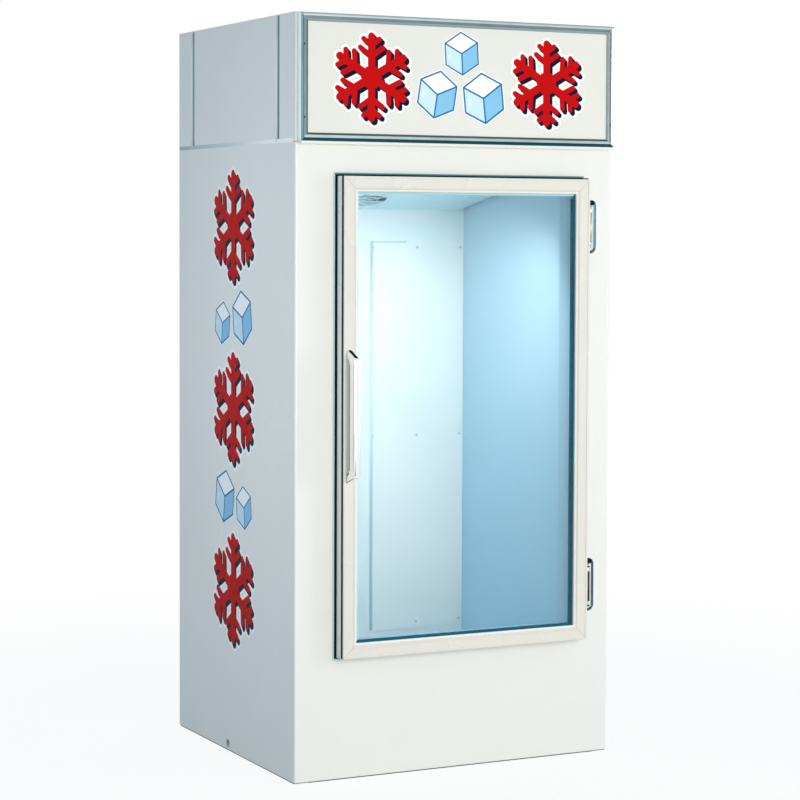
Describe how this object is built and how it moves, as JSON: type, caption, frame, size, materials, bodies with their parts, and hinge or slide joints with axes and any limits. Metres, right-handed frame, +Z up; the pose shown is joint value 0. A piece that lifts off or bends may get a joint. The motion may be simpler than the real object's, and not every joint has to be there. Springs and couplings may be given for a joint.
{
  "type": "ice merchandiser freezer",
  "caption": "Upright white ice merchandiser freezer with a framed glass door, pull handle, side hinges, a hood with condensing unit, and a framed header sign.",
  "frame": {"origin": "on the floor, below the middle of the bounding box", "axes": "+Z up; the door and sign face -Y; +X to the viewer's right when facing the door, where the hinges are"},
  "size_m": [0.914, 0.8834, 1.93],
  "materials": {
    "base_steel": "grey primer",
    "galvanised": "galvanised sheet, spangled",
    "white_skin": "white stove enamel, satin gloss",
    "foam": "closed-cell foam",
    "liner_white": "cool white enamel, gloss",
    "jamb_plastic": "pale grey-blue extrusion",
    "black_trim": "near-black with a teal cast",
    "screw_steel": "zinc plated",
    "drain_plastic": "moulded",
    "sign_aluminium": "anodised satin",
    "sign_acrylic": "opal sheet",
    "lamp_box_white": "white reflector enamel",
    "lamp_tube": "opal tube",
    "holder_plastic": "moulded",
    "unit_paint": "black enamel",
    "compressor_paint": "black enamel, gloss",
    "grommet_rubber": "matt",
    "coil_metal": "bare fins",
    "motor_paint": "dark enamel",
    "blade_aluminium": "pressed sheet",
    "copper": "drawn tube, dulled",
    "knob_plastic": "moulded",
    "switch_plastic": "moulded",
    "housing_metal": "cool white enamel",
    "door_profile": "warm white enamel on extrusions",
    "door_glass": "clear with a faint cyan tint",
    "spacer_black": "sealed edge",
    "gasket_rubber": "soft vinyl",
    "handle_chrome": "polished",
    "hinge_chrome": "polished"
  },
  "bodies": {
    "cabinet": {"base_runners": "base_steel", "base_crossmembers": "base_steel", "base_pan": "galvanised", "outer_wrapper": "white_skin", "back_panel": "galvanised", "foam_sides": "foam", "foam_rear": "foam", "foam_floor": "foam", "foam_ceiling": "foam", "foam_front": "foam", "liner": "liner_white", "jamb_strips": "jamb_plastic", "face_trim": "black_trim", "liner_rear_panel": "liner_white", "liner_screws": "screw_steel", "floor_drain": "drain_plastic", "drain_pipe": "drain_plastic", "deck_panel": "galvanised", "hood_front_posts": "white_skin", "hood_rear_posts": "white_skin", "hood_side_left": "white_skin", "hood_side_right": "white_skin", "hood_top": "white_skin", "rear_grille": "white_skin", "rear_screws": "screw_steel", "sign_rail_top": "sign_aluminium", "sign_rail_bottom": "sign_aluminium", "sign_rail_left": "sign_aluminium", "sign_rail_right": "sign_aluminium", "sign_panel": "sign_acrylic", "sign_lamp_box": "lamp_box_white", "sign_lamp": "lamp_tube", "sign_lamp_holders": "holder_plastic", "sign_screws": "screw_steel", "unit_base": "unit_paint", "compressor": "compressor_paint", "compressor_mounts": "grommet_rubber", "condenser_coil": "coil_metal", "condenser_shroud": "unit_paint", "condenser_fan_motor": "motor_paint", "refrigerant_lines": "copper", "control_box": "galvanised", "cord_bushing": "grommet_rubber", "evaporator_housing": "housing_metal", "evaporator_coil": "coil_metal", "evaporator_fan_motor": "motor_paint", "cavity_lamp": "lamp_tube", "hinge_plates": "hinge_chrome"},
    "door": {"door_frame_rails": "door_profile", "door_edge_insert": "black_trim", "door_glass_front": "door_glass", "door_glass_inner": "door_glass", "glass_spacer": "spacer_black", "door_gasket": "gasket_rubber", "door_handle": "handle_chrome", "hinge_leaves": "hinge_chrome"},
    "condenser_fan": {"condenser_fan_blade": "blade_aluminium"},
    "evaporator_fan": {"evaporator_fan_blade": "blade_aluminium"},
    "thermostat": {"thermostat_knob": "knob_plastic"},
    "switch": {"power_switch": "switch_plastic"}
  },
  "joints": [
    {"name": "door_hinge", "type": "hinge", "parent": "cabinet", "child": "door", "pos_m": [0.381, -0.36725, 0.8], "axis": [0, 0, 1], "range_deg": [0, 110]},
    {"name": "condenser_fan_spin", "type": "hinge", "parent": "cabinet", "child": "condenser_fan", "pos_m": [-0.11, 0.28375, 1.755], "axis": [0, 1, 0], "continuous": true},
    {"name": "evaporator_fan_spin", "type": "hinge", "parent": "cabinet", "child": "evaporator_fan", "pos_m": [0, 0.25575, 1.4725], "axis": [0, 0.1904, 0.9817], "continuous": true},
    {"name": "thermostat_turn", "type": "hinge", "parent": "cabinet", "child": "thermostat", "pos_m": [0.318, 0.40405, 1.753], "axis": [0, 1, 0], "range_deg": [0, 270]},
    {"name": "power_rocker", "type": "hinge", "parent": "cabinet", "child": "switch", "pos_m": [0.318, 0.40405, 1.683], "axis": [1, 0, 0], "range_deg": [-16, 0]}
  ]
}
